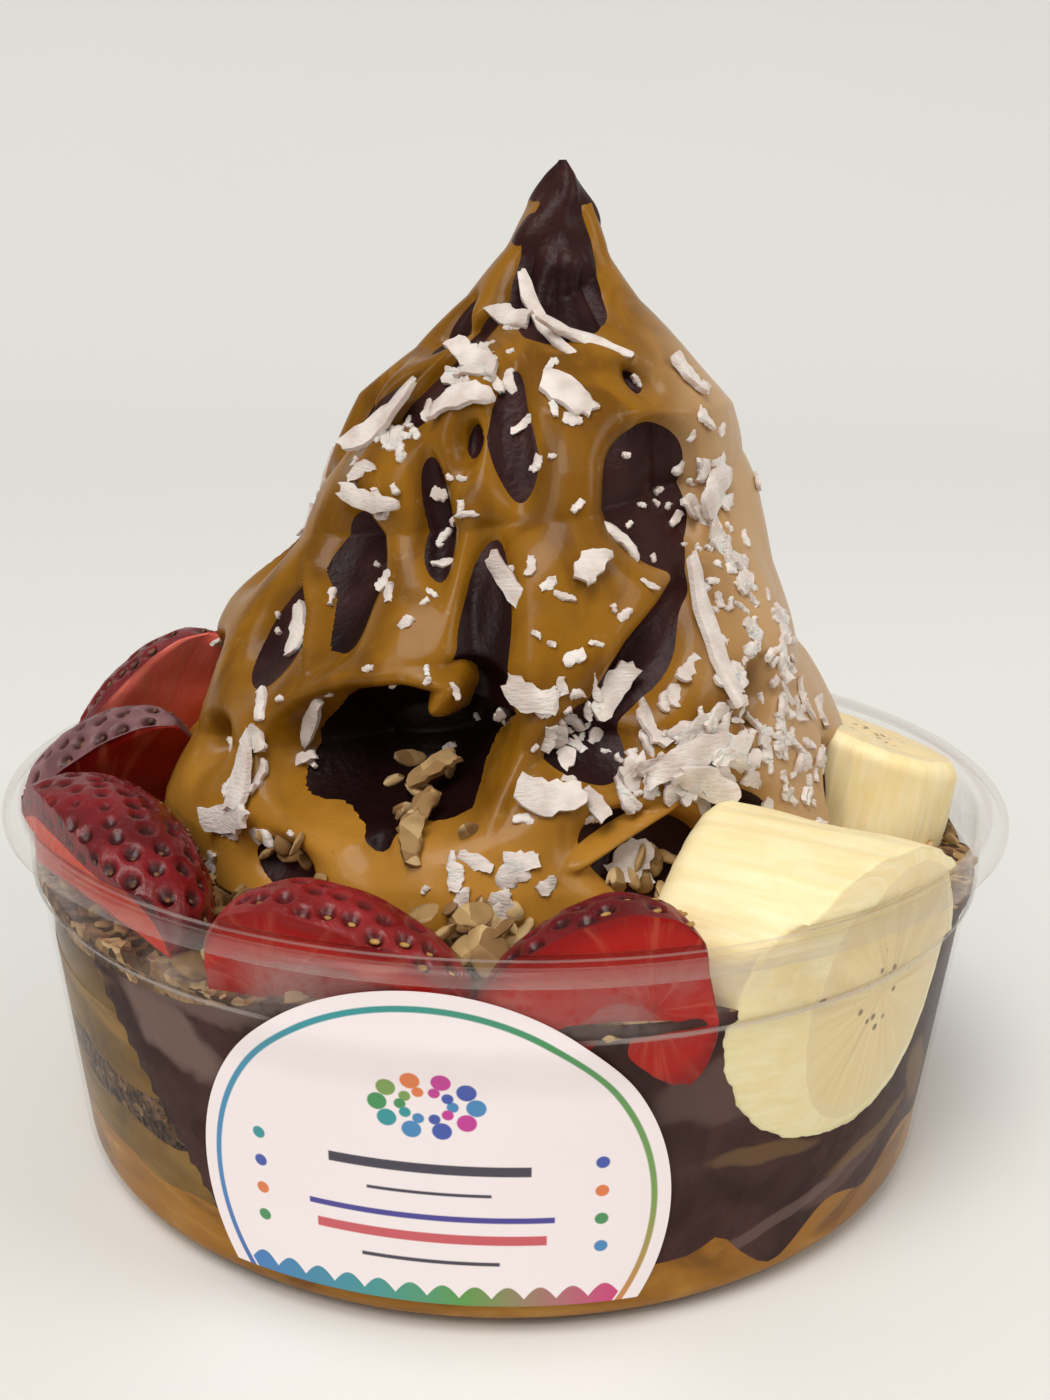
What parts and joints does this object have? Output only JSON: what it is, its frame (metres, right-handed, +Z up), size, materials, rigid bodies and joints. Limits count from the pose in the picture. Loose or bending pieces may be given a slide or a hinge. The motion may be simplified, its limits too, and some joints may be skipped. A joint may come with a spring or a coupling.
{
  "type": "acai bowl",
  "caption": "Clear salad bowl layered with peanut butter, acai and granola, topped by a tall drizzled acai swirl with coconut, strawberries and banana.",
  "frame": {"origin": "centre of the bowl's flat base, at the level it rests on", "axes": "+Z up the bowl's axis, -Y towards the side that carries the label"},
  "size_m": [0.16, 0.16, 0.152],
  "materials": {
    "clear_plastic": "clear, gloss",
    "label_paper": "coated, satin",
    "peanut_butter": "smooth, glossy",
    "crumbs": "grainy, moist",
    "acai": "smooth, moist",
    "granola": "rough, dry",
    "drizzled_acai": "glossy drizzle over acai",
    "strawberry": "glossy skin, wet cut face",
    "banana": "soft, moist"
  },
  "bodies": {
    "root": {"bowl": "clear_plastic", "label": "label_paper", "peanut_butter_base": "peanut_butter", "peanut_butter_side_low": "peanut_butter", "crumb_band": "crumbs", "peanut_butter_side_high": "peanut_butter", "acai_layer": "acai", "granola": "granola", "acai_swirl": "drizzled_acai", "strawberry_front_left": "strawberry", "strawberry_front_right": "strawberry", "strawberry_left": "strawberry", "strawberry_left_dark": "strawberry", "strawberry_left_back": "strawberry", "strawberry_back": "strawberry", "strawberry_back_left": "strawberry", "banana_front": "banana", "banana_right": "banana", "banana_right_back": "banana", "banana_back": "banana"}
  },
  "joints": []
}
